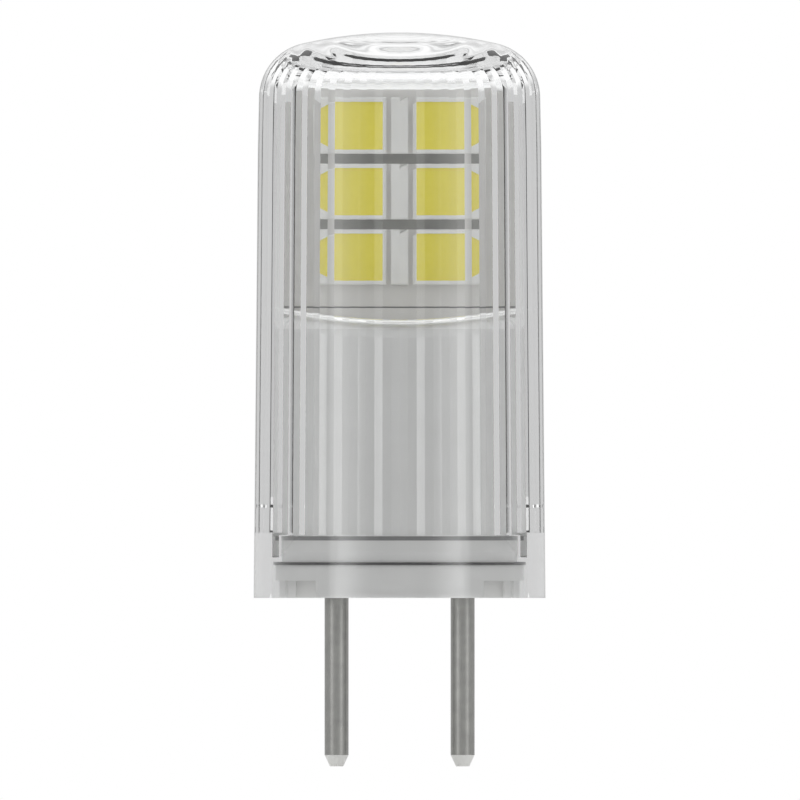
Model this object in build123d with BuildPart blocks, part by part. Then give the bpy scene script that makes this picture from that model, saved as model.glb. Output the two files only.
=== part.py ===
from build123d import *
import os
from math import cos, pi, radians, sin, sqrt, tan

# Two-pin LED capsule bulb: a clear moulded capsule over an upright board with LEDs on both faces,
# potted at its lower end and closed by a snapped-in base plug that holds the two contact pins.
# Millimetres. The origin is the centre of the base's seating face, +Z runs to the crown of the
# capsule and the pins lie in a row along X.

# Clear cover, outside
skirt_radius = 7.35
cover_height = 28.49
outer_draft = 0.53
crown_radius = 22.0
crown_steps = 2
shoulder_radius = 2.8

# Clear cover, fluted cavity
flute_count = 44
flute_depth = 0.055
cavity_foot_radius = 5.60
cavity_draft = 0.40
crown_wall = 2.34
ceiling_round = 0.80
ceiling_round_steps = 2

# Mouth of the cover, from the seating face upwards
counterbore_depth = 1.81
counterbore_step = 0.43
flute_shelf = 0.37
neck_headroom = 0.07

# Base plug and its fit in the mouth
plate_gap = 0.15
collar_gap = 0.05
collar_foot = 2.29
collar_top = 3.10
collar_taper = 0.42
plate_step = 0.86
block_width = 8.0
lug_width = 5.2
lug_relief = 0.20
lug_rib_width = 0.36
lug_rib_offset = 5.17
lug_rib_rise = 0.30
gate_dimple_radius = 0.9
gate_dimple_depth = 0.25
gate_dimple_offset = 3.6

# Seal ring between the plate of the plug and the cover
seal_gap = 0.04
seal_thickness = 0.14
seal_headroom = 0.02

# Snap tabs on the plug and their pockets in the cover
tab_width = 5.0
tab_reach = 0.40
tab_foot = 2.10
pocket_gap = 0.06
pocket_headroom = 0.18

# Vents through the wall of the cover, one on each side
vent_width = 0.18
vent_foot = 4.55
vent_top = 4.70

# Contact pins
pin_spacing = 6.35
pin_radius = 0.605
pin_tip = 8.48
pin_tip_length = 0.57
pin_tip_radius = 0.335
pin_root = 0.05
pin_shank_radius = 0.80
pin_flange_radius = 0.93
pin_flange_height = 0.40
pin_well_radius = 1.55
pin_well_depth = 0.35

# Upright LED board
board_thickness = 1.0
board_gap = 0.14
board_headroom = 0.40
board_corner = 1.0
tongue_gap = 0.095
tongue_length = 3.1
score_margin = 0.56
score_width = 0.12
score_depth = 0.05

# LED packages, three rows of two on each face
led_width = 3.6
led_height = 2.8
led_depth = 0.8
led_column_gap = 0.64
led_row_pitch = 3.30
led_rows = 3
led_top_margin = 0.56
led_edge = 0.06
led_notch = 0.33
window_width = 2.88
window_height = 2.38
window_depth = 0.35
window_corner = 0.44
phosphor_dip = 0.07

# Potting compound, cast inside the flutes
potting_gap = 0.03
potting_margin = 1.69
potting_round = 0.75
potting_round_steps = 2

# Lead wires from the pins to the board
lead_radius = 0.20
lead_gap = 0.04
lead_length = 4.8
solder_width = 1.1
solder_depth = 0.70
solder_height = 1.5
solder_chamfer = 0.2

# Driver parts on the potted end of the board, stacked upwards from the pin flanges
stack_gap = 0.15
chip_chamfer = 0.12
leg_thickness = 0.18
rectifier_size = (3.9, 3.2, 1.4)
rectifier_legs = 2
rectifier_leg_pitch = 2.5
rectifier_leg_width = 0.6
driver_size = (3.9, 3.6, 1.4)
driver_legs = 4
driver_leg_pitch = 0.95
driver_leg_width = 0.4
leg_reach = 0.5
capacitor_size = (3.2, 1.6, 1.5)
capacitor_cap = 0.45
capacitor_step = 0.04
resistor_size = (2.0, 1.2, 0.5)
resistor_cap = 0.3
resistor_offset = 1.1
inductor_radius = 1.5
inductor_height = 2.2
inductor_flange = 0.4
inductor_groove = 0.35


def cavity_radius(height):
    """Valley radius of the drafted, fluted cavity at a height."""
    return cavity_foot_radius - height * tan(radians(cavity_draft))


# Derived places
half_board = board_thickness / 2
front_face = Plane(origin=(0, -half_board, 0), x_dir=(1, 0, 0), z_dir=(0, -1, 0))
back_face = Plane(origin=(0, half_board, 0), x_dir=(-1, 0, 0), z_dir=(0, 1, 0))
board_faces = {"front": front_face, "back": back_face}
pin_sides = {"left": -1, "right": 1}
pin_offset = pin_spacing / 2
led_offset = (led_column_gap + led_width) / 2
ceiling_height = cover_height - crown_wall
board_top = ceiling_height - board_headroom
board_reach = cavity_radius(board_top) - flute_depth - board_gap
board_width = 2 * sqrt(board_reach**2 - half_board**2)
tongue_width = 2 * (pin_offset - pin_flange_radius - tongue_gap)
tongue_top = collar_top + tongue_length
neck_radius = cavity_foot_radius + flute_shelf
neck_top = collar_top + neck_headroom
counterbore_radius = neck_radius + counterbore_step
led_top_row = board_top - led_top_margin - led_height / 2
led_foot = led_top_row - (led_rows - 1) * led_row_pitch - led_height / 2
potting_top = led_foot - potting_margin
score_height = potting_top + score_margin


def flute_ring(valley_radius):
    """Corners of the fluted section, a valley and a ridge in turn, with a valley at the front."""
    corners = []
    for step in range(2 * flute_count):
        radius = valley_radius - flute_depth * (step % 2)
        angle = pi * step / flute_count
        corners.append((radius * sin(angle), -radius * cos(angle)))
    return corners


def fluted_body(stations):
    """A solid that carries the flutes through (height, valley radius) stations."""
    with BuildPart() as body:
        for height, valley_radius in stations:
            with BuildSketch(Plane.XY.offset(height)):
                with BuildLine():
                    Polyline(*flute_ring(valley_radius), close=True)
                make_face()
        loft(ruled=True)
    return body.part


def rounded_end(top, side_radius, round_radius, steps):
    """Stations over a round from the side wall to a flat end at the given height."""
    stations = []
    for step in range(steps + 1):
        turn = pi / 2 * step / steps
        height = top - round_radius * (1 - sin(turn))
        stations.append((height, side_radius - round_radius * (1 - cos(turn))))
    return stations


def save(part, name):
    part.label = name
    export_step(part, f"parts/{name}.step")


# Clear cover
rim_radius = skirt_radius - cover_height * tan(radians(outer_draft))
crown_reach = rim_radius - shoulder_radius
crown_rings = [crown_reach * (1 - step / crown_steps) for step in range(crown_steps + 1)]
crown_profile = [
    (radius, cover_height - crown_radius + sqrt(crown_radius**2 - radius**2))
    for radius in (rim_radius, *crown_rings)
]
ceiling_wall = cavity_radius(ceiling_height - ceiling_round)
cavity_stations = [(neck_top, cavity_radius(neck_top))]
cavity_stations += rounded_end(ceiling_height, ceiling_wall, ceiling_round, ceiling_round_steps)
cavity = fluted_body(cavity_stations)
tab_radius = neck_radius + tab_reach

with BuildPart() as cover:
    with BuildSketch(Plane.XZ):
        with BuildLine():
            Polyline((0, 0), (skirt_radius, 0), *crown_profile, close=True)
        make_face()
        fillet(vertices().sort_by_distance(crown_profile[0])[0], shoulder_radius)
    revolve(axis=Axis.Z)
    add(cavity, mode=Mode.SUBTRACT)
    with BuildSketch(Plane.XZ):
        with BuildLine():
            Polyline(
                (0, 0),
                (counterbore_radius, 0),
                (counterbore_radius, counterbore_depth),
                (neck_radius, counterbore_depth),
                (neck_radius, neck_top),
                (0, neck_top),
                close=True,
            )
        make_face()
    revolve(axis=Axis.Z, mode=Mode.SUBTRACT)
    with BuildSketch(Plane.XY.offset(tab_foot - pocket_gap)):
        Circle(tab_radius + pocket_gap)
        Rectangle(2 * skirt_radius, tab_width + 2 * pocket_gap, mode=Mode.INTERSECT)
    extrude(amount=collar_top + pocket_headroom - tab_foot + pocket_gap, mode=Mode.SUBTRACT)
    with BuildSketch(Plane.XY.offset(vent_foot)):
        Rectangle(2 * skirt_radius, vent_width)
    extrude(amount=vent_top - vent_foot, mode=Mode.SUBTRACT)
save(cover.part, "cover")

# Base plug
plate_radius = counterbore_radius - plate_gap
plate_top = counterbore_depth - seal_headroom - seal_thickness
collar_radius = neck_radius - collar_gap
collar_end = collar_radius - collar_taper

with BuildSketch() as foot_plan:
    Rectangle(2 * plate_radius, lug_width)
    with Locations((lug_rib_offset, 0), (-lug_rib_offset, 0)):
        Rectangle(lug_rib_width, lug_width + 2 * lug_rib_rise)
    Circle(plate_radius - lug_relief, mode=Mode.INTERSECT)
    Rectangle(block_width, 2 * plate_radius)

with BuildPart() as base_plug:
    with BuildSketch(Plane.XZ):
        with BuildLine():
            Polyline(
                (0, 0),
                (plate_radius, 0),
                (plate_radius, plate_top),
                (collar_radius, plate_top),
                (collar_radius, collar_foot),
                (collar_end, collar_top),
                (0, collar_top),
                close=True,
            )
        make_face()
    revolve(axis=Axis.Z)
    with BuildSketch(Plane.XY.offset(tab_foot)):
        Circle(tab_radius)
        Rectangle(2 * tab_radius, tab_width, mode=Mode.INTERSECT)
    extrude(amount=collar_top - tab_foot)
    with BuildSketch(Plane.XY):
        Circle(plate_radius)
        add(foot_plan.sketch, mode=Mode.SUBTRACT)
    extrude(amount=plate_step, mode=Mode.SUBTRACT)
    with BuildSketch(Plane.XY):
        with Locations((pin_offset, 0), (-pin_offset, 0)):
            Circle(pin_shank_radius)
    extrude(amount=collar_top, mode=Mode.SUBTRACT)
    with BuildSketch(Plane.XY):
        with Locations((pin_offset, 0), (-pin_offset, 0)):
            Circle(pin_well_radius)
    extrude(amount=pin_well_depth, mode=Mode.SUBTRACT)
    with BuildSketch(Plane.XY):
        with Locations((0, gate_dimple_offset)):
            Circle(gate_dimple_radius)
    extrude(amount=gate_dimple_depth, mode=Mode.SUBTRACT)
save(base_plug.part, "base_plug")

# Seal ring
with BuildPart() as seal_ring:
    with BuildSketch(Plane.XY.offset(plate_top)):
        Circle(counterbore_radius - seal_gap)
        Circle(collar_radius + seal_gap, mode=Mode.SUBTRACT)
    extrude(amount=seal_thickness)
save(seal_ring.part, "seal_ring")

# Contact pins
pins = {}
for side, sign in pin_sides.items():
    with BuildPart() as pin:
        with BuildSketch(Plane.XZ):
            with BuildLine():
                Polyline(
                    (0, -pin_tip),
                    (pin_tip_radius, -pin_tip),
                    (pin_radius, pin_tip_length - pin_tip),
                    (pin_radius, pin_root),
                    (pin_shank_radius, pin_root),
                    (pin_shank_radius, collar_top),
                    (pin_flange_radius, collar_top),
                    (pin_flange_radius, collar_top + pin_flange_height),
                    (0, collar_top + pin_flange_height),
                    close=True,
                )
            make_face()
        revolve(axis=Axis.Z)
    pins[side] = Pos(sign * pin_offset, 0, 0) * pin.part
    save(pins[side], f"pin_{side}")

# LED board
with BuildPart() as led_board:
    with BuildSketch(front_face):
        with Locations((0, (tongue_top + board_top) / 2)):
            Rectangle(board_width, board_top - tongue_top)
        chamfer(vertices().group_by(Axis.Y)[-1], board_corner)
        with Locations((0, (collar_top + tongue_top) / 2)):
            Rectangle(tongue_width, tongue_top - collar_top)
    extrude(amount=-board_thickness)
    for face in board_faces.values():
        with BuildSketch(face):
            with Locations((0, score_height)):
                Rectangle(board_width, score_width)
        extrude(amount=-score_depth, mode=Mode.SUBTRACT)
save(led_board.part, "led_board")

# LEDs
for face_name, face in board_faces.items():
    for row in range(led_rows):
        height = led_top_row - (led_rows - 1 - row) * led_row_pitch
        for column_name, sign in pin_sides.items():
            name = f"{face_name}_{column_name}_{row + 1}"
            place = (sign * led_offset, height)
            outer_edge = sign * (led_offset + window_width / 2)
            outer_corners = [(outer_edge, height + turn * window_height / 2) for turn in (-1, 1)]
            marked_corner = (sign * led_offset - led_width / 2, height + led_height / 2)

            with BuildSketch() as window:
                with Locations(place):
                    Rectangle(window_width, window_height)
                for corner in outer_corners:
                    chamfer(vertices().sort_by_distance(corner)[0], window_corner)

            with BuildPart() as led_frame:
                with BuildSketch(face):
                    with Locations(place):
                        Rectangle(led_width, led_height)
                    chamfer(vertices().sort_by_distance(marked_corner)[0], led_notch)
                extrude(amount=led_depth)
                led_face = faces().sort_by_distance(face.from_local_coords((*place, led_depth)))[0]
                chamfer(led_face.edges(), led_edge)
                with BuildSketch(face.offset(led_depth)):
                    add(window.sketch)
                extrude(amount=-window_depth, mode=Mode.SUBTRACT)
            save(led_frame.part, f"led_frame_{name}")

            with BuildPart() as phosphor:
                with BuildSketch(face.offset(led_depth - window_depth)):
                    add(window.sketch)
                extrude(amount=window_depth - phosphor_dip)
            save(phosphor.part, f"phosphor_{name}")

# Lead wires and their solder joints
flange_top = collar_top + pin_flange_height
lead_top = flange_top + lead_length
buried = [led_board.part]
for side, sign in pin_sides.items():
    lead_x = sign * pin_offset
    lead_y = -half_board - lead_gap - lead_radius
    with BuildPart() as lead:
        with BuildSketch(Plane.XY.offset(flange_top)):
            with Locations((lead_x, lead_y)):
                Circle(lead_radius)
        extrude(amount=lead_length)
    save(lead.part, f"lead_{side}")
    with BuildPart() as solder:
        with BuildSketch(front_face):
            with Locations((lead_x, lead_top - solder_height / 2)):
                Rectangle(solder_width, solder_height)
                chamfer(vertices(), solder_chamfer)
        extrude(amount=solder_depth)
        chamfer(faces().sort_by(Axis.Y)[0].edges(), solder_chamfer)
        add(lead.part, mode=Mode.SUBTRACT)
    save(solder.part, f"solder_{side}")
    buried += [lead.part, solder.part, pins[side]]


def moulded_chip(face, place, size, legs, leg_pitch, leg_width):
    """A moulded chip on a board face, with a row of flat legs at its upper and lower edges."""
    width, height, depth = size
    with BuildPart() as chip:
        with BuildSketch(face):
            with Locations(place):
                Rectangle(width, height)
        extrude(amount=depth)
        top_face = faces().sort_by_distance(face.from_local_coords((*place, depth)))[0]
        chamfer(top_face.edges(), chip_chamfer)
        with BuildSketch(face):
            with Locations(place):
                with GridLocations(leg_pitch, 0, legs, 1):
                    Rectangle(leg_width, height + 2 * leg_reach)
        extrude(amount=leg_thickness)
    return chip.part


def capped_chip(face, place, size, cap, step):
    """A square chip part with a raised metal cap at each end."""
    width, height, depth = size
    with BuildPart() as chip:
        with BuildSketch(face):
            with Locations(place):
                Rectangle(width, height)
                with GridLocations(width - cap, 0, 2, 1):
                    Rectangle(cap, height + 2 * step)
        extrude(amount=depth)
    return chip.part


# Driver parts, each above the one before it on its face of the board
capacitor_rise = capacitor_size[1] / 2 + capacitor_step
output_capacitor_height = flange_top + stack_gap + capacitor_rise
input_capacitor_height = output_capacitor_height + 2 * capacitor_rise + stack_gap
rectifier_rise = rectifier_size[1] / 2 + leg_reach
rectifier_height = input_capacitor_height + capacitor_rise + stack_gap + rectifier_rise
resistor_rise = resistor_size[1] / 2 + capacitor_step
resistor_height = flange_top + stack_gap + resistor_rise
inductor_place = resistor_height + resistor_rise + stack_gap + inductor_radius
driver_rise = driver_size[1] / 2 + leg_reach
driver_height = inductor_place + inductor_radius + stack_gap + driver_rise

rectifier = moulded_chip(
    front_face,
    (0, rectifier_height),
    rectifier_size,
    rectifier_legs,
    rectifier_leg_pitch,
    rectifier_leg_width,
)
driver_chip = moulded_chip(
    back_face, (0, driver_height), driver_size, driver_legs, driver_leg_pitch, driver_leg_width
)
input_capacitor = capped_chip(
    front_face, (0, input_capacitor_height), capacitor_size, capacitor_cap, capacitor_step
)
output_capacitor = capped_chip(
    front_face, (0, output_capacitor_height), capacitor_size, capacitor_cap, capacitor_step
)
sense_resistors = {
    side: capped_chip(
        back_face, (sign * resistor_offset, resistor_height), resistor_size, resistor_cap, capacitor_step
    )
    for side, sign in pin_sides.items()
}

with BuildPart() as inductor:
    with BuildSketch(back_face):
        with Locations((0, inductor_place)):
            Circle(inductor_radius)
    extrude(amount=inductor_flange)
    with BuildSketch(back_face.offset(inductor_flange)):
        with Locations((0, inductor_place)):
            Circle(inductor_radius - inductor_groove)
    extrude(amount=inductor_height - 2 * inductor_flange)
    with BuildSketch(back_face.offset(inductor_height - inductor_flange)):
        with Locations((0, inductor_place)):
            Circle(inductor_radius)
    extrude(amount=inductor_flange)

driver_parts = {
    "bridge_rectifier": rectifier,
    "driver_chip": driver_chip,
    "input_capacitor": input_capacitor,
    "output_capacitor": output_capacitor,
    "sense_resistor_left": sense_resistors["left"],
    "sense_resistor_right": sense_resistors["right"],
    "inductor": inductor.part,
}
for name, part in driver_parts.items():
    save(part, name)
    buried.append(part)

# Potting compound
potting_side = cavity_radius(potting_top - potting_round) - potting_gap
potting_stations = [(collar_top, cavity_radius(collar_top) - potting_gap)]
potting_stations += rounded_end(potting_top, potting_side, potting_round, potting_round_steps)
potting_cast = fluted_body(potting_stations)

with BuildPart() as potting:
    add(potting_cast)
    for part in buried:
        add(part, mode=Mode.SUBTRACT)
save(potting.part, "potting")
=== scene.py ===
# %% [markdown]
# A two-pin LED capsule bulb, dressed round its finished construction. The construction model
# brings every solid at its real size: capsule, base plug, pins, board, LEDs, potting and the
# driver parts inside it. What is left to do here is what a camera sees: clear walls that bend
# light cleanly, a cast resin surface, phosphor, plated metal, and the light they stand in.

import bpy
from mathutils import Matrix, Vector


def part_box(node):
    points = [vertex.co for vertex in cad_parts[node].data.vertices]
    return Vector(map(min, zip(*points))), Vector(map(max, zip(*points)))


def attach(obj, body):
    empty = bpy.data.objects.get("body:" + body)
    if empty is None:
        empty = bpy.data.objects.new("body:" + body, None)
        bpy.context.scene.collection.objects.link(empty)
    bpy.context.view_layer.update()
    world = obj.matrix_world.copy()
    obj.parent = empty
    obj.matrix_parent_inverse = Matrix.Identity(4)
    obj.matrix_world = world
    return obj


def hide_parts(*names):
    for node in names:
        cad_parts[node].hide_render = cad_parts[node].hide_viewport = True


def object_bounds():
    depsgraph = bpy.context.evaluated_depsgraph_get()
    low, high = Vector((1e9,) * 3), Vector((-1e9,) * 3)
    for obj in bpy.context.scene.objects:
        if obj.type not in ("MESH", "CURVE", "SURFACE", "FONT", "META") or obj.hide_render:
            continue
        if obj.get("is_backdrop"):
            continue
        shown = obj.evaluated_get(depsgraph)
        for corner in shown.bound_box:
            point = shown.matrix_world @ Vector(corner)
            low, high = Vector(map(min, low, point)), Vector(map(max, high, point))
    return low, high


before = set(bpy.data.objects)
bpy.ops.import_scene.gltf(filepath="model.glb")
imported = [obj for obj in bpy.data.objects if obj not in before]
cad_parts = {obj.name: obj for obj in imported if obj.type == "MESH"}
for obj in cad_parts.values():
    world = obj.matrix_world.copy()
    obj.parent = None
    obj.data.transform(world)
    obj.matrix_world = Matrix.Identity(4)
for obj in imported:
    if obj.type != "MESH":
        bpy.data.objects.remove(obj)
cad_low, cad_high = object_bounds()
print("solids in the frame:", len(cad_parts))

# %% [markdown]
# The boxes of the solids say where each piece begins and ends, so a piece made here lands on the
# solid that it stands in for. Sizes that a box can't tell, such as the slope of a wall, have names
# of their own further down. Lengths are in metres, and `mm` lets them be written in the unit
# that such a part is drawn in.

# %% Shared names and measures
from math import atan2, cos, hypot, pi, radians, sin, sqrt, tan

import bpy

mm = 0.001
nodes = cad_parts
cover_low, cover_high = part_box("cover")
plug_low, plug_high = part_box("base_plug")
potting_low, potting_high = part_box("potting")
board_low, board_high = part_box("led_board")
for name, low, high in (
    ("capsule", cover_low, cover_high),
    ("base plug", plug_low, plug_high),
    ("potting", potting_low, potting_high),
    ("board", board_low, board_high),
):
    across, foot, top = [round(value / mm, 2) for value in (high.x - low.x, low.z, high.z)]
    print(name, "in mm:", across, "across, from", foot, "to", top)
skirt_radius = cover_high.x
crown_height = cover_high.z

# %% [markdown]
# Blender's operators act on whatever is selected. These helpers start from nothing selected,
# choose vertices by where they are, and come back to object mode when they are done. `settle`
# matters because an object that was moved or scaled keeps that in its own settings until it is
# applied to the mesh, and the finished pieces have to stand at the origin, unscaled.

# %% Selecting, settling and applying
def start_alone(piece=None):
    """Goes to object mode with nothing selected, or with one piece selected and active."""
    if bpy.context.object and bpy.context.object.mode != "OBJECT":
        bpy.ops.object.mode_set(mode="OBJECT")
    bpy.ops.object.select_all(action="DESELECT")
    if piece:
        piece.select_set(True)
        bpy.context.view_layer.objects.active = piece


def select_vertices(piece, wanted):
    """Selects the vertices for which wanted(place) is true, and stays in edit mode."""
    start_alone(piece)
    bpy.ops.object.mode_set(mode="EDIT")
    bpy.ops.mesh.select_mode(type="VERT")
    bpy.ops.mesh.select_all(action="DESELECT")
    bpy.ops.object.mode_set(mode="OBJECT")
    for vertex in piece.data.vertices:
        vertex.select = wanted(vertex.co)
    bpy.ops.object.mode_set(mode="EDIT")


def settle(piece, name):
    """Puts a piece's place into its mesh and names both."""
    start_alone(piece)
    bpy.ops.object.transform_apply(location=True, rotation=True, scale=True)
    piece.name = name
    piece.data.name = name
    return piece


def smooth_below(piece, degrees):
    """Shades a piece smoothly, but keeps every edge that turns by more than an angle."""
    start_alone(piece)
    bpy.ops.object.shade_smooth_by_angle(angle=radians(degrees))


def boolean(piece, operation, cutter):
    """Cuts or intersects a piece with a cutter, which is used up."""
    start_alone(piece)
    modifier = piece.modifiers.new("Boolean", "BOOLEAN")
    modifier.operation = operation
    modifier.object = cutter
    modifier.solver = "EXACT"
    bpy.ops.object.modifier_apply(modifier=modifier.name)
    bpy.data.objects.remove(cutter)


# %% [markdown]
# The capsule, its cavity and the cast potting are all towers of rings: a circle is added at the
# foot and extruded up, ring by ring, each ring scaled to its radius. Spinning a profile would
# give the same round form, but rings can also be fluted, because every second vertex of a ring
# can be drawn inwards to make a ridge.

# %% Towers of rings
def ring_tower(name, sides, stations):
    """A closed body through (height, radius, ridge depth) stations, first station at the foot."""
    start_alone()
    height, radius, _ = stations[0]
    bpy.ops.mesh.primitive_circle_add(
        vertices=sides, radius=radius, fill_type="NGON", location=(0, 0, height)
    )
    tower = settle(bpy.context.object, name)
    start_alone(tower)
    bpy.ops.object.mode_set(mode="EDIT")
    bpy.ops.mesh.select_mode(type="VERT")
    bpy.ops.mesh.select_all(action="SELECT")
    for next_height, next_radius, _ in stations[1:]:
        bpy.ops.mesh.extrude_region_move(
            TRANSFORM_OT_translate={"value": (0, 0, next_height - height)}
        )
        scale = next_radius / radius
        bpy.ops.transform.resize(value=(scale, scale, 1), center_override=(0, 0, 0))
        height, radius = next_height, next_radius
    raise_ridges(tower, sides, stations)
    start_alone(tower)
    bpy.ops.object.mode_set(mode="EDIT")
    bpy.ops.mesh.select_all(action="SELECT")
    bpy.ops.mesh.normals_make_consistent(inside=False)
    start_alone(tower)
    return tower


def raise_ridges(tower, sides, stations):
    """Draws every second vertex of each fluted ring in by the ridge depth of its station."""
    step = 2 * pi / sides
    near = 0.02 * mm
    for height, radius, depth in stations:
        if not depth:
            continue

        def on_ridge(place):
            turn = round(atan2(place.x, -place.y) / step)
            off_radius = abs(hypot(place.x, place.y) - radius)
            return turn % 2 == 1 and abs(place.z - height) < near and off_radius < near

        select_vertices(tower, on_ridge)
        scale = (radius - depth) / radius
        bpy.ops.transform.resize(value=(scale, scale, 1), center_override=(0, 0, 0))


def round_over(height, side_radius, round_radius, steps):
    """Heights and radii over a quarter round, from the side wall in to a flat end at a height."""
    turns = [pi / 2 * step / steps for step in range(steps + 1)]
    return [
        (height - round_radius * (1 - sin(turn)), side_radius - round_radius * (1 - cos(turn)))
        for turn in turns
    ]


# %% [markdown]
# The capsule is one clear moulding. Its outside is a plain drafted wall with a soft shoulder and
# a slightly domed crown. The shoulder is an arc that meets both the wall and the dome without a
# kink, so its centre and its end are worked out from the two. The construction solid holds the
# same shape with few facets, and a lens shows every facet, so the capsule is made again here
# with fine rings and stands in for that solid.

# %% Outside of the capsule
outer_sides = 352
outer_draft = tan(radians(0.53))
wall_rings = 10
crown_radius = 22.0 * mm
crown_rings = 14
shoulder_radius = 2.8 * mm
shoulder_rings = 20
rim_radius = skirt_radius - crown_height * outer_draft
shoulder_x = rim_radius - shoulder_radius
crown_centre = crown_height - crown_radius
shoulder_z = crown_centre + sqrt((crown_radius - shoulder_radius) ** 2 - shoulder_x**2)
shoulder_end = atan2(shoulder_z - crown_centre, shoulder_x)

outer_stations = []
for ring in range(wall_rings):
    height = shoulder_z * ring / wall_rings
    outer_stations.append((height, skirt_radius - height * outer_draft, 0))
for ring in range(shoulder_rings + 1):
    turn = shoulder_end * ring / shoulder_rings
    height = shoulder_z + shoulder_radius * sin(turn)
    outer_stations.append((height, shoulder_x + shoulder_radius * cos(turn), 0))
crown_edge = outer_stations[-1][1]
for ring in range(1, crown_rings):
    radius = crown_edge * (1 - ring / crown_rings)
    outer_stations.append((crown_centre + sqrt(crown_radius**2 - radius**2), radius, 0))

cover = ring_tower("cover_clear", outer_sides, outer_stations)
print("capsule outside:", len(cover.data.vertices), "vertices")

# %% [markdown]
# The cavity is a second tower. It carries forty-four shallow prism flutes, which throw the light
# of the LEDs sideways and break up their outlines. They run all the way up and over the round to
# the ceiling, where they fade out. The ceiling rises a little to its middle and holds a faint
# ripple from the core pin that shaped it.

# %% Fluted cavity
flute_count = 44
flute_depth = 0.052 * mm
cavity_foot_radius = 5.60 * mm
cavity_draft = tan(radians(0.40))
neck_top = 3.17 * mm
ceiling_height = 26.15 * mm
ceiling_round = 0.80 * mm
ceiling_round_rings = 18
ceiling_rings = 60
ceiling_rise = 0.10 * mm
ripple_pitch = 0.65 * mm
ripple_height = 0.006 * mm


def cavity_radius(height):
    return cavity_foot_radius - height * cavity_draft


wall_top = ceiling_height - ceiling_round
cavity_stations = [(neck_top, cavity_radius(neck_top), flute_depth)]
for height, radius in round_over(
    ceiling_height, cavity_radius(wall_top), ceiling_round, ceiling_round_rings
):
    cavity_stations.append((height, radius, flute_depth))
ceiling_edge = cavity_stations[-1][1]
for ring in range(1, ceiling_rings):
    share = 1 - ring / ceiling_rings
    ripple = ripple_height * (1 - cos(2 * pi * (ceiling_edge * (1 - share)) / ripple_pitch))
    height = ceiling_height + ceiling_rise * (1 - share**2) + ripple
    cavity_stations.append((height, ceiling_edge * share, flute_depth * max(0, 2 * share - 1)))
cavity = ring_tower("cavity", 2 * flute_count, cavity_stations)
print("cavity:", len(cavity_stations), "rings of", 2 * flute_count, "vertices")

# %% [markdown]
# The mouth is a third tower: a counterbore for the plug's plate and a plain neck for its collar,
# so the flutes end on a narrow shelf. The two snap pockets are a ring cut down by a bar to the
# width of the tabs, and the two vents are a thin bar. Booleans take all of them out of the
# capsule. Shading is then smooth only over edges of less than six degrees, so the rings blend
# and the ridges of the flutes stay crisp.

# %% Mouth, pockets and vents
cutter_sides = outer_sides // 2
cutter_reach = 8 * mm
below_seat = -1 * mm
counterbore_radius = 6.40 * mm
counterbore_depth = 1.81 * mm
neck_radius = 5.97 * mm
pocket_radius = 6.43 * mm
pocket_width = 5.12 * mm
pocket_low, pocket_high = 2.04 * mm, 3.28 * mm
pocket_bar_top = 4 * mm
vent_width = 0.18 * mm
vent_low, vent_high = 4.55 * mm, 4.70 * mm
crisp_degrees = 6


def cutting_bar(name, low, high, width):
    """A bar along X, through the axis, from height low to height high."""
    start_alone()
    bpy.ops.mesh.primitive_cube_add(size=1, location=(0, 0, (low + high) / 2))
    bpy.ops.transform.resize(value=(2 * cutter_reach, width, high - low))
    return settle(bpy.context.object, name)


mouth_stations = [
    (below_seat, counterbore_radius, 0),
    (counterbore_depth, counterbore_radius, 0),
    (counterbore_depth, neck_radius, 0),
    (neck_top, neck_radius, 0),
]
mouth = ring_tower("mouth", cutter_sides, mouth_stations)
pocket_stations = [(pocket_low, pocket_radius, 0), (pocket_high, pocket_radius, 0)]
pockets = ring_tower("pockets", cutter_sides, pocket_stations)
boolean(pockets, "INTERSECT", cutting_bar("pocket_bar", 0, pocket_bar_top, pocket_width))
vents = cutting_bar("vents", vent_low, vent_high, vent_width)

for cutter in (cavity, mouth, pockets, vents):
    boolean(cover, "DIFFERENCE", cutter)
smooth_below(cover, crisp_degrees)
print("capsule, cut:", len(cover.data.polygons), "faces")

# %% [markdown]
# The potting is cast into the finished bulb, so its side takes the print of the flutes, a hair's
# breadth inside them. On top the resin has crept up beside the board's edges and sunk in the
# middle, with a rolled edge where it leaves the wall. A tower gives the fluted side and the
# rolled edge, and then the upper rings are lifted towards the sides by moving their vertices.

# %% Cast potting
potting_gap = 0.03 * mm
potting_foot = potting_low.z
potting_edge = 13.85 * mm
potting_round = 0.85 * mm
potting_round_rings = 14
basin_depth = 0.35 * mm
basin_rings = 8
sag_radius = 22 * mm
lift_length = 1.0 * mm


def sag(x):
    """How far the resin stands higher at x than in the middle."""
    return x**2 / (2 * sag_radius)


side_height = potting_edge - potting_round
side_radius = cavity_radius(side_height) - potting_gap
potting_stations = [(potting_foot, cavity_radius(potting_foot) - potting_gap, flute_depth)]
rolled_edge = round_over(potting_edge, side_radius, potting_round, potting_round_rings)
for ring, (height, radius) in enumerate(rolled_edge):
    fading = (1 - ring / potting_round_rings) ** 0.5
    potting_stations.append((height, radius, flute_depth * fading))
flat_radius = potting_stations[-1][1]
for ring in range(1, basin_rings):
    share = ring / basin_rings
    height = potting_edge - basin_depth * sin(pi * share / 2)
    potting_stations.append((height, flat_radius * (1 - share), 0))
potting = ring_tower("potting_cast", 2 * flute_count, potting_stations)

lift_from = side_height - lift_length
for vertex in potting.data.vertices:
    if vertex.co.z > lift_from:
        share = min(1, (vertex.co.z - lift_from) / (potting_edge - lift_from))
        vertex.co.z += share * sag(vertex.co.x)
smooth_below(potting, crisp_degrees)
print("potting:", len(potting.data.polygons), "faces")

# %% [markdown]
# Where the resin meets the flutes it leaves a thin bead. It starts as a ring that just touches
# the wall and the rolled edge, and is lifted at the sides by the same curve as the potting.

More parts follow.
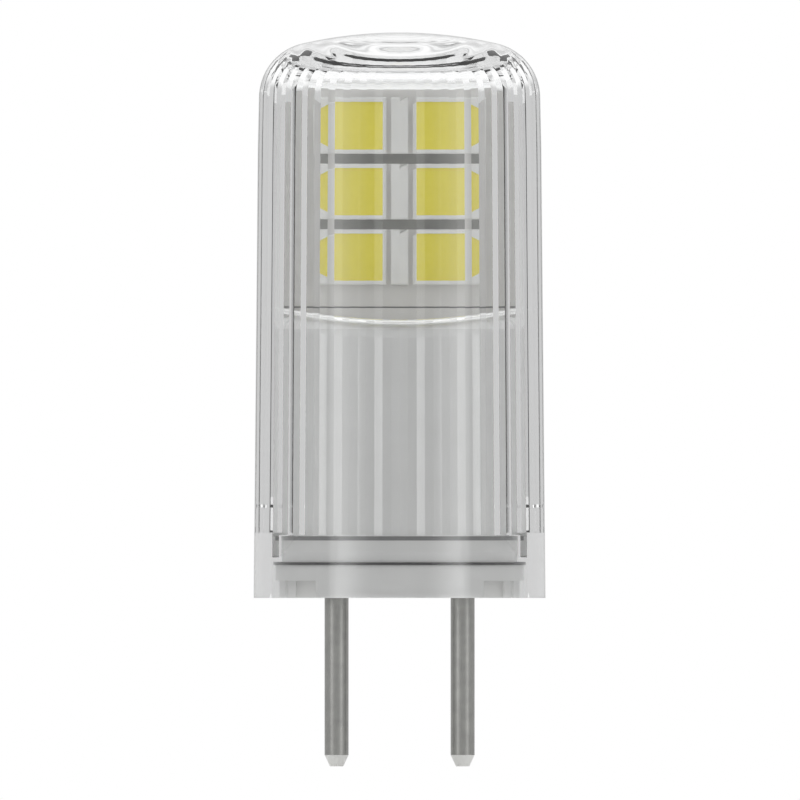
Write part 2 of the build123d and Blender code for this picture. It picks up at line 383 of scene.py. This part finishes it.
# %% Bead at the edge of the potting
bead_thickness = 0.15 * mm
bead_lift = 0.02 * mm
bead_sides = 16
bead_degrees = 60
start_alone()
bpy.ops.mesh.primitive_torus_add(
    major_radius=cavity_radius(potting_edge) - flute_depth - bead_thickness,
    minor_radius=bead_thickness,
    major_segments=2 * flute_count,
    minor_segments=bead_sides,
    location=(0, 0, potting_edge + bead_lift),
)
bead = settle(bpy.context.object, "resin_bead")
for vertex in bead.data.vertices:
    vertex.co.z += sag(vertex.co.x)
smooth_below(bead, bead_degrees)
print("bead:", len(bead.data.polygons), "faces")

# %% [markdown]
# Materials come next. Each is a Principled shader with a little procedural life: noise that
# wanders between two tones, or two levels of gloss, that lie a few percent apart. All noise and
# all bands use the object's own coordinates, so they stay on the part when it is moved or turned.

# %% Building blocks of the materials
def new_material(name, **inputs):
    """A Principled material with the given sockets set, its node tree and its shader."""
    material = bpy.data.materials.new(name)
    material.use_nodes = True
    tree = material.node_tree
    shader = tree.nodes["Principled BSDF"]
    for socket, value in inputs.items():
        shader.inputs[socket.replace("_", " ")].default_value = value
    return material, tree, shader


def noise(tree, scale, detail):
    """Noise over the object's own coordinates, with its scale in cycles per metre."""
    places = tree.nodes.new("ShaderNodeTexCoord")
    texture = tree.nodes.new("ShaderNodeTexNoise")
    texture.inputs["Scale"].default_value = scale
    texture.inputs["Detail"].default_value = detail
    tree.links.new(places.outputs["Object"], texture.inputs["Vector"])
    return texture.outputs["Fac"]


def wandering(tree, scale, detail, dark, light):
    """A colour that wanders between two tones. Noise rarely leaves 0.3 to 0.7."""
    ramp = tree.nodes.new("ShaderNodeValToRGB")
    for element, position, colour in zip(ramp.color_ramp.elements, (0.3, 0.7), (dark, light)):
        element.position = position
        element.color = (*colour, 1)
    tree.links.new(noise(tree, scale, detail), ramp.inputs["Fac"])
    return ramp.outputs["Color"]


def worn_gloss(tree, shader, scale, detail, roughest):
    """Lets the roughness wander between 0 and a highest value."""
    span = tree.nodes.new("ShaderNodeMapRange")
    span.inputs["To Max"].default_value = roughest
    tree.links.new(noise(tree, scale, detail), span.inputs["Value"])
    tree.links.new(span.outputs["Result"], shader.inputs["Roughness"])


def between(tree, axis, low, high):
    """1 where the object's own coordinate on an axis lies between two values, else 0."""
    places = tree.nodes.new("ShaderNodeTexCoord")
    parts = tree.nodes.new("ShaderNodeSeparateXYZ")
    band = tree.nodes.new("ShaderNodeMath")
    band.operation = "COMPARE"
    band.inputs[1].default_value = (low + high) / 2
    band.inputs[2].default_value = (high - low) / 2
    tree.links.new(places.outputs["Object"], parts.inputs["Vector"])
    tree.links.new(parts.outputs[axis], band.inputs[0])
    return band.outputs["Value"]


def combined(tree, operation, a, b):
    """Two factors, multiplied for where both hold or added for where either does."""
    both = tree.nodes.new("ShaderNodeMath")
    both.operation = operation
    tree.links.new(a, both.inputs[0])
    tree.links.new(b, both.inputs[1])
    return both.outputs["Value"]


def tint(tree, factor, base, colour):
    """A colour socket, turned to another colour where the factor is 1."""
    mix = tree.nodes.new("ShaderNodeMix")
    mix.data_type = "RGBA"
    tree.links.new(factor, mix.inputs["Factor"])
    tree.links.new(base, mix.inputs["A"])
    mix.inputs["B"].default_value = (*colour, 1)
    return mix.outputs["Result"]


def colour_with(tree, shader, colour):
    tree.links.new(colour, shader.inputs["Base Color"])


def dress(names, material):
    """Gives the solids whose names start with one of the words a material."""
    dressed = [piece for node, piece in nodes.items() if node.startswith(names)]
    for piece in dressed:
        piece.data.materials.clear()
        piece.data.materials.append(material)
    print(material.name, "on", len(dressed), "solids")


# %% [markdown]
# Clear polycarbonate bends light more than glass does, with an index of 1.58, and that is what
# draws the dark and bright lines along the walls. It is all but colourless, so only its gloss
# varies a little, where the tool's polish was worn. The insides of the two vents are painted
# darker, as painted shade.

# %% Clear capsule
clear, tree, shader = new_material("clear_capsule", IOR=1.58, Transmission_Weight=1.0)
worn_gloss(tree, shader, 260, 3, 0.008)
plastic = wandering(tree, 260, 3, (0.982, 0.988, 0.988), (0.988, 0.992, 0.992))
vent_edge = 0.03 * mm
# Painted shade: the clear plastic is coloured darker inside the two vents.
painted_vent_shade = combined(
    tree,
    "MULTIPLY",
    between(tree, "Y", -vent_width / 2 - vent_edge, vent_width / 2 + vent_edge),
    between(tree, "Z", vent_low - vent_edge, vent_high + vent_edge),
)
colour_with(tree, shader, tint(tree, painted_vent_shade, plastic, (0.45, 0.45, 0.45)))
cover.data.materials.append(clear)
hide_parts("cover")
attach(cover, "root")

# %% [markdown]
# The cast silicone is pale and glossy. Its rolled top edge is painted nearly white, a painted
# highlight for the light that it catches from above. The bead is clear too, but in so thin a
# bead almost all light is reflected inside, which the eye takes for silver. A high metallic value
# stands in for that.

# %% Potting and bead
highlight_band_foot = potting_edge - 0.3 * mm
highlight_band_top = potting_edge + 2 * mm
cast, tree, shader = new_material("cast_silicone", Roughness=0.08, Specular_IOR_Level=1.0)
silicone = wandering(tree, 420, 5, (0.82, 0.82, 0.81), (0.86, 0.86, 0.85))
# Painted highlight: the rolled top edge of the potting is coloured nearly white.
painted_edge_highlight = between(tree, "Z", highlight_band_foot, highlight_band_top)
colour_with(tree, shader, tint(tree, painted_edge_highlight, silicone, (0.97, 0.97, 0.96)))
potting.data.materials.append(cast)

resin, tree, shader = new_material(
    "clear_resin",
    Base_Color=(0.98, 0.98, 0.97, 1),
    IOR=1.45,
    Transmission_Weight=1.0,
    Metallic=0.85,
)
worn_gloss(tree, shader, 900, 3, 0.03)
bead.data.materials.append(resin)
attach(bead, "root")
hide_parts("potting")
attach(potting, "root")

# %% [markdown]
# The base plug is a satin moulding. A dark line round the top of its collar is painted shadow,
# for the shade in the gap under the potting, and its two lugs are painted a shade darker, as
# painted shade on their set-back faces. The ring that seals it is black.

# %% Base plug and seal
lug_inner = 4.02 * mm
lug_outer = 8 * mm
lug_top = 0.86 * mm
shadow_line_reach = 5.6 * mm
shadow_line_height = 0.21 * mm

base, tree, shader = new_material("base_moulding", Roughness=0.42)
moulding = wandering(tree, 500, 4, (0.83, 0.83, 0.82), (0.87, 0.87, 0.86))
left_lug = between(tree, "X", -lug_outer, -lug_inner)
right_lug = between(tree, "X", lug_inner, lug_outer)
lugs = combined(
    tree,
    "MULTIPLY",
    between(tree, "Z", -mm, lug_top),
    combined(tree, "ADD", left_lug, right_lug),
)
# Painted shade: the two lugs are coloured a shade darker.
painted_lug_shade = tint(tree, lugs, moulding, (0.77, 0.77, 0.76))
# Painted shadow: a dark line is coloured round the top of the collar.
painted_shadow_line = combined(
    tree,
    "MULTIPLY",
    between(tree, "Z", plug_high.z - shadow_line_height, plug_high.z + mm),
    between(tree, "X", -shadow_line_reach, shadow_line_reach),
)
colour_with(tree, shader, tint(tree, painted_shadow_line, painted_lug_shade, (0.24, 0.24, 0.24)))
dress(("base_plug",), base)

rubber, tree, shader = new_material("seal_rubber", Roughness=0.55)
colour_with(tree, shader, wandering(tree, 900, 4, (0.012, 0.012, 0.012), (0.022, 0.022, 0.022)))
dress(("seal_ring",), rubber)

# %% [markdown]
# The board wears a white solder mask. Between the rows of LEDs the mask is left open and the
# board shows grey, and a score line crosses it above the potting. The boxes of the LED frames
# say where the rows begin and end.

# %% Board and LEDs
row_low, row_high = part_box("led_frame_front_left_1")
middle_low, middle_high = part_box("led_frame_front_left_2")
top_low, top_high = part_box("led_frame_front_left_3")
score_height = 14.66 * mm
score_width = 0.07 * mm
print("rows of LEDs, mm:", [round(low / mm, 2) for low in (row_low.z, middle_low.z, top_low.z)])

mask, tree, shader = new_material("solder_mask", Roughness=0.45)
white_mask = wandering(tree, 700, 4, (0.78, 0.77, 0.75), (0.83, 0.82, 0.80))
row_gaps = combined(
    tree,
    "ADD",
    between(tree, "Z", row_high.z, middle_low.z),
    between(tree, "Z", middle_high.z, top_low.z),
)
beside_leds = between(tree, "X", row_low.x, -row_low.x)
grey_bars = combined(tree, "MULTIPLY", row_gaps, beside_leds)
barred = tint(tree, grey_bars, white_mask, (0.31, 0.31, 0.29))
score = between(tree, "Z", score_height - score_width / 2, score_height + score_width / 2)
colour_with(tree, shader, tint(tree, score, barred, (0.15, 0.15, 0.15)))
dress(("led_board",), mask)

package, tree, shader = new_material("led_moulding", Roughness=0.35)
colour_with(tree, shader, wandering(tree, 900, 3, (0.86, 0.86, 0.84), (0.90, 0.90, 0.88)))
dress(("led_frame",), package)

gel, tree, shader = new_material("phosphor_silicone", Roughness=0.40)
colour_with(tree, shader, wandering(tree, 5000, 3, (0.92, 0.80, 0.03), (0.96, 0.84, 0.05)))
dress(("phosphor",), gel)

# %% [markdown]
# A metal takes nearly all of its look from what it reflects, so nickel plate needs a fairly dark
# tone and a soft gloss to read as plating. The coned tips are given a much lighter tone.
# The driver parts are hidden in the potting, and are dressed for whoever takes the bulb apart.

# %% Pins, leads and driver parts
tip_length = 0.57 * mm
plated, tree, shader = new_material("nickel_plate", Metallic=1.0, Roughness=0.30)
nickel = wandering(tree, 1500, 4, (0.29, 0.29, 0.28), (0.35, 0.35, 0.335))
tip = between(tree, "Z", cad_low.z - mm, cad_low.z + tip_length)
colour_with(tree, shader, tint(tree, tip, nickel, (0.88, 0.88, 0.86)))
dress(("pin_",), plated)

tinned, tree, shader = new_material("tinned_copper", Metallic=1.0, Roughness=0.3)
colour_with(tree, shader, wandering(tree, 1500, 4, (0.6, 0.6, 0.6), (0.7, 0.7, 0.7)))
dress(("lead_", "solder_"), tinned)

black, tree, shader = new_material("chip_moulding", Roughness=0.6)
colour_with(tree, shader, wandering(tree, 3000, 4, (0.03, 0.03, 0.032), (0.05, 0.05, 0.052)))
dress(("bridge_rectifier", "driver_chip", "inductor"), black)

tan_ceramic, tree, shader = new_material("chip_ceramic", Roughness=0.5)
colour_with(tree, shader, wandering(tree, 3000, 4, (0.36, 0.26, 0.18), (0.42, 0.31, 0.22)))
dress(("input_capacitor", "output_capacitor", "sense_resistor"), tan_ceramic)

# %% [markdown]
# The floor is a pale matt sheet at the tips of the pins, and takes the bulb's shadow.

# %% Floor
floor_size = 0.8
start_alone()
bpy.ops.mesh.primitive_plane_add(size=floor_size, location=(0, 0, cad_low.z))
floor = settle(bpy.context.object, "floor")
pale, tree, shader = new_material("pale_floor", Base_Color=(0.86, 0.86, 0.86, 1), Roughness=0.9)
floor.data.materials.append(pale)
floor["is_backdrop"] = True

# %% [markdown]
# The world is the studio, and there is no lamp besides it. A clear bulb shows what stands all
# round it, so the world is split into zones by direction: a level backdrop behind, a bright
# panel on each side, a dimmer room in front, a bright ceiling and a plain floor. Each border is
# soft, and the side panels end well before the directions that the clear walls look at, or each
# wall would show a hard white line. The camera itself sees plain white.

# %% World
BACK, SIDE, FRONT, TOP, FLOOR = 0.60, 2.15, 0.52, 1.04, 0.60
CAMERA_WHITE = 1.0
world = bpy.data.worlds.new("studio")
world.use_nodes = True
bpy.context.scene.world = world
tree = world.node_tree
background = tree.nodes["Background"]
paths = tree.nodes.new("ShaderNodeLightPath")
direction = tree.nodes.new("ShaderNodeTexCoord")
parts = tree.nodes.new("ShaderNodeSeparateXYZ")
tree.links.new(direction.outputs["Generated"], parts.inputs["Vector"])


def mix_levels(factor, a, b):
    """A blend of two levels, each a socket or a number, by a factor socket."""
    mix = tree.nodes.new("ShaderNodeMix")
    mix.data_type = "RGBA"
    tree.links.new(factor, mix.inputs["Factor"])
    for name, value in (("A", a), ("B", b)):
        if isinstance(value, float):
            mix.inputs[name].default_value = (value, value, value, 1)
        else:
            tree.links.new(value, mix.inputs[name])
    return mix.outputs["Result"]


def border(axis, start, end):
    """Goes from 0 to 1, smoothly, as a direction's share along an axis goes from start to end."""
    span = tree.nodes.new("ShaderNodeMapRange")
    span.interpolation_type = "SMOOTHSTEP"
    span.inputs["From Min"].default_value = start
    span.inputs["From Max"].default_value = end
    tree.links.new(parts.outputs[axis], span.inputs["Value"])
    return span.outputs["Result"]


rear = mix_levels(border("Y", -0.58, -0.50), SIDE, BACK)
round_about = mix_levels(border("Y", -0.62, -0.96), rear, FRONT)
with_top = mix_levels(border("Z", 0.08, 0.35), round_about, TOP)
studio = mix_levels(border("Z", -0.30, -0.75), with_top, FLOOR)
seen = mix_levels(paths.outputs["Is Camera Ray"], studio, CAMERA_WHITE)
tree.links.new(seen, background.inputs["Color"])
print("levels of the world:", BACK, SIDE, FRONT, TOP, FLOOR)

# %% [markdown]
# A ray that enters a clear wall goes on inside it, reflected again and again. It is followed for
# nine bounces. The few rays that need more end black, and they draw the thin dark lines that a
# product picture of such a bulb has along its walls.

# %% Light paths
bounces = 9
cycles = bpy.context.scene.cycles
cycles.max_bounces = bounces
cycles.transmission_bounces = bounces
cycles.glossy_bounces = bounces

# %% [markdown]
# The camera looks along +Y, level, without perspective, as the product picture does. The scale
# comes from the pins: their spacing of 6.35 mm spans 126.05 pixels of an 800-pixel picture. The
# axis of the bulb and its seating face give the place.

# %% Camera
pixel = 6.35 * mm / 126.05
photo_size = 800
axis_pixel = 399.6
seat_pixel = 598.0
camera_distance = 0.20
camera_data = bpy.data.cameras.new("camera")
camera_data.type = "ORTHO"
camera_data.ortho_scale = photo_size * pixel
camera_data.clip_start = 0.001
camera = bpy.data.objects.new("camera", camera_data)
camera.location = (
    (photo_size / 2 - axis_pixel) * pixel,
    -camera_distance,
    (seat_pixel - photo_size / 2) * pixel,
)
camera.rotation_euler = (radians(90), 0, 0)
bpy.context.collection.objects.link(camera)
bpy.context.scene.camera = camera
bpy.context.scene.view_settings.view_transform = "Standard"
print("one pixel is", round(pixel / mm, 4), "mm")

# %% [markdown]
# Last, the size of the box of all that is visible is printed. It should agree with the box of
# the solids, because nothing made here is meant to stand outside the real part.

# %% Sizes, and the end
low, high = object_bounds()
print("visual box, mm:", [round((b - a) / mm, 2) for a, b in zip(low, high)])
